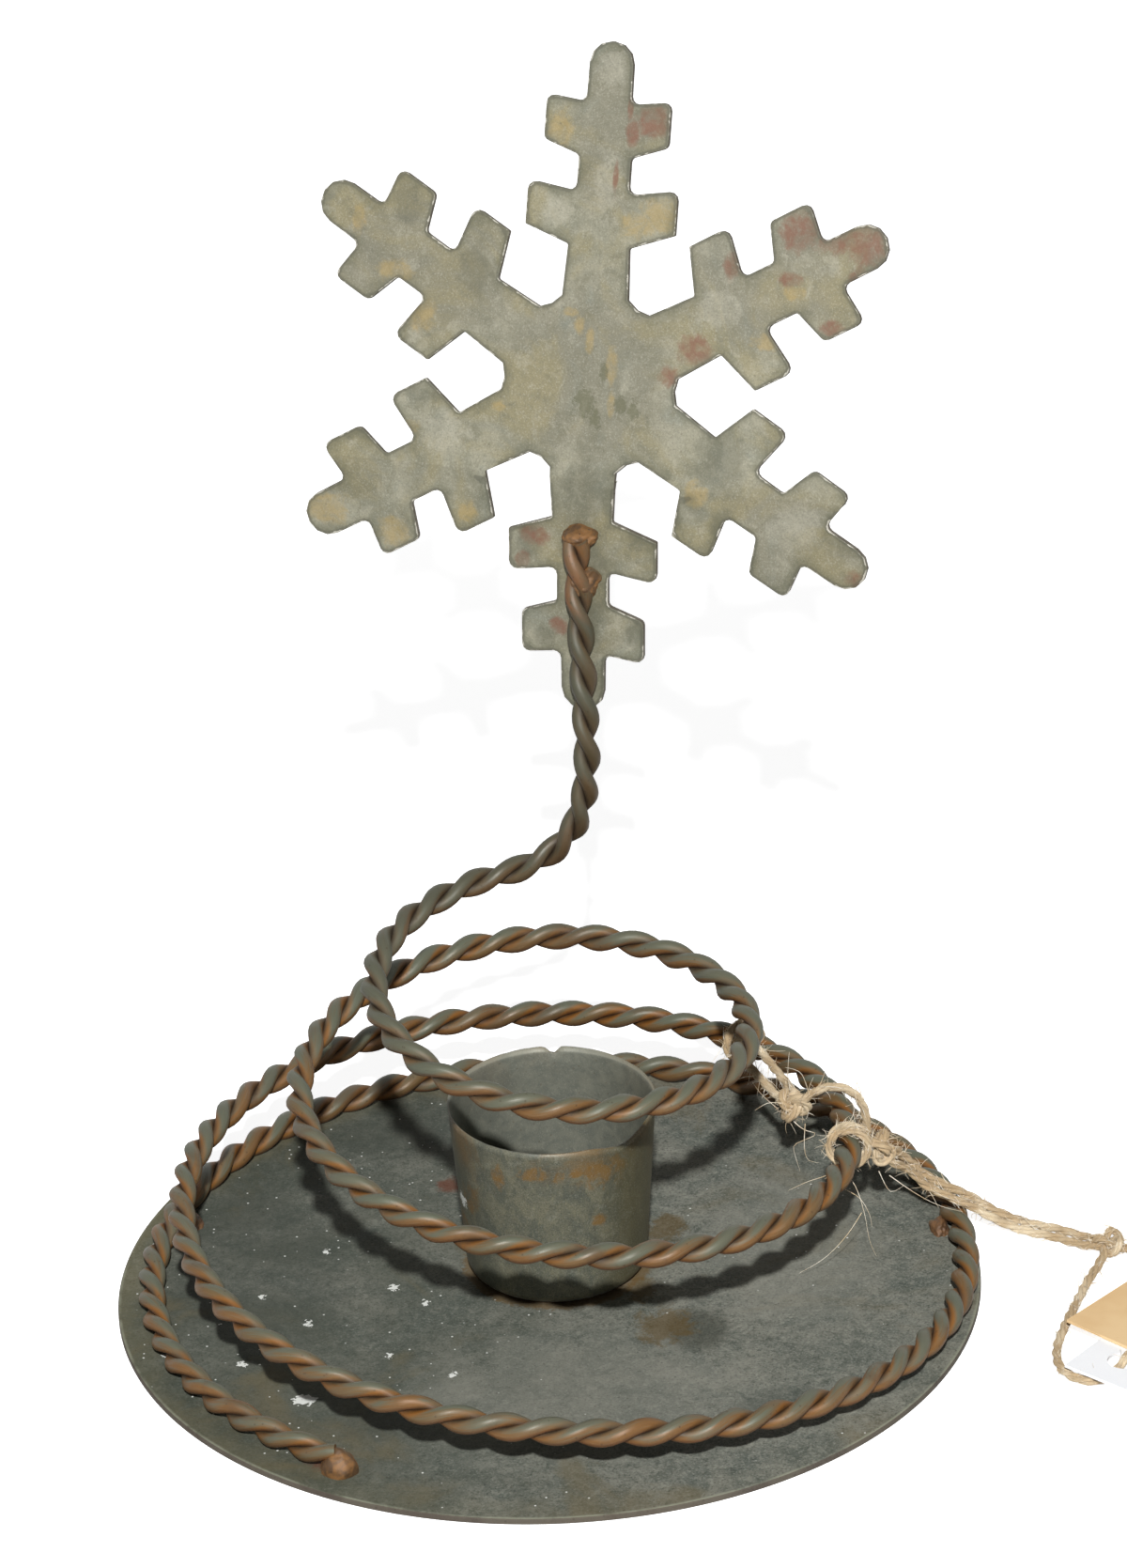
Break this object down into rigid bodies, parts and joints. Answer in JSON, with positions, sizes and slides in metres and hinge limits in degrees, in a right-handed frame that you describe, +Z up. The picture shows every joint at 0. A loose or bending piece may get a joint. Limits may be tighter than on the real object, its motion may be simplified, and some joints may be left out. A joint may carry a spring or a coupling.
{
  "type": "taper candle holder",
  "caption": "Small table taper candle holder: a tapered cup on a round sheet plate inside a coil of twisted wire that rises to a cut-out snowflake.",
  "frame": {"origin": "centre of the round base plate's underside, on the surface that the holder stands on", "axes": "+Z up, -Y towards the front from which the snowflake is seen, +X to the right"},
  "size_m": [0.1432, 0.1024, 0.1409],
  "materials": {
    "plate_steel": "dark weathered sheet steel with faint olive and rust stains",
    "cup_steel": "thin drawn steel, grey with rust tints",
    "wire_steel": "soft gloss steel wire, blue-grey and orange-brown rust",
    "snowflake_steel": "weathered sheet steel, grey with olive, tan and red-brown patches",
    "weld_metal": "rough rusty weld metal",
    "jute_twine": "natural jute, fuzzy",
    "brown_card": "bare brown card",
    "white_card": "bare white card"
  },
  "bodies": {
    "root": {"base_plate": "plate_steel", "candle_cup": "cup_steel", "wire_strand_one": "wire_steel", "wire_strand_two": "wire_steel", "tack_weld_start": "weld_metal", "tack_weld_left": "weld_metal", "tack_weld_right": "weld_metal", "snowflake": "snowflake_steel", "arm_weld_upper": "weld_metal", "arm_weld_lower": "weld_metal", "twine_back_hitch": "jute_twine", "twine_upper_knot": "jute_twine", "twine_bridge": "jute_twine", "twine_ring_hitch": "jute_twine", "twine_lower_knot": "jute_twine", "twine_run": "jute_twine", "twine_far_knot": "jute_twine", "twine_loop": "jute_twine", "brown_tag": "brown_card", "white_tag": "white_card"}
  },
  "joints": []
}
